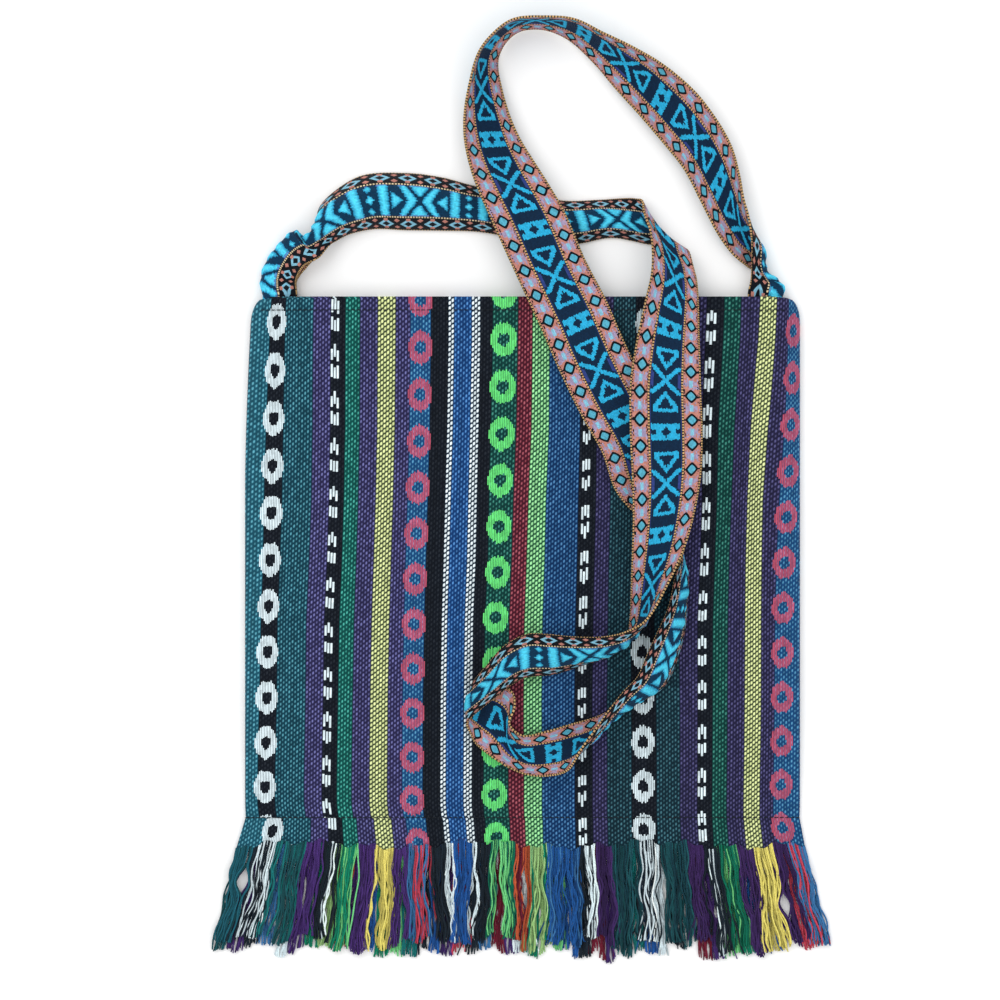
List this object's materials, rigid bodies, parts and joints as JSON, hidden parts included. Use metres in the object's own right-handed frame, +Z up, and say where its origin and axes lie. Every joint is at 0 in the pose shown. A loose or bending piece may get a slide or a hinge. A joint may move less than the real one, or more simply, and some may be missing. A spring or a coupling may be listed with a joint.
{
  "type": "crossbody bag",
  "caption": "Flat striped woven cotton crossbody bag with an open mouth, a fringed foot and a long patterned ribbon strap laid in loops over it.",
  "frame": {"origin": "centre of the back panel's underside, where the bag lies on the floor", "axes": "+Z up from the floor through both cloths to the viewer, +Y from the fringe towards the open mouth, +X across the bag to its right as seen from above"},
  "size_m": [0.3762, 0.5661, 0.0325],
  "materials": {
    "woven_stripe": "matte",
    "jacquard_ribbon": "matte",
    "sewing_thread": "matte"
  },
  "bodies": {
    "root": {"front_panel": "woven_stripe", "back_panel": "woven_stripe", "shoulder_strap": "jacquard_ribbon", "mouth_stitching_front": "sewing_thread", "mouth_stitching_back": "sewing_thread", "foot_stitching": "sewing_thread", "side_seam_left": "sewing_thread", "side_seam_right": "sewing_thread", "strap_tack_left": "sewing_thread", "strap_tack_right": "sewing_thread"}
  },
  "joints": []
}
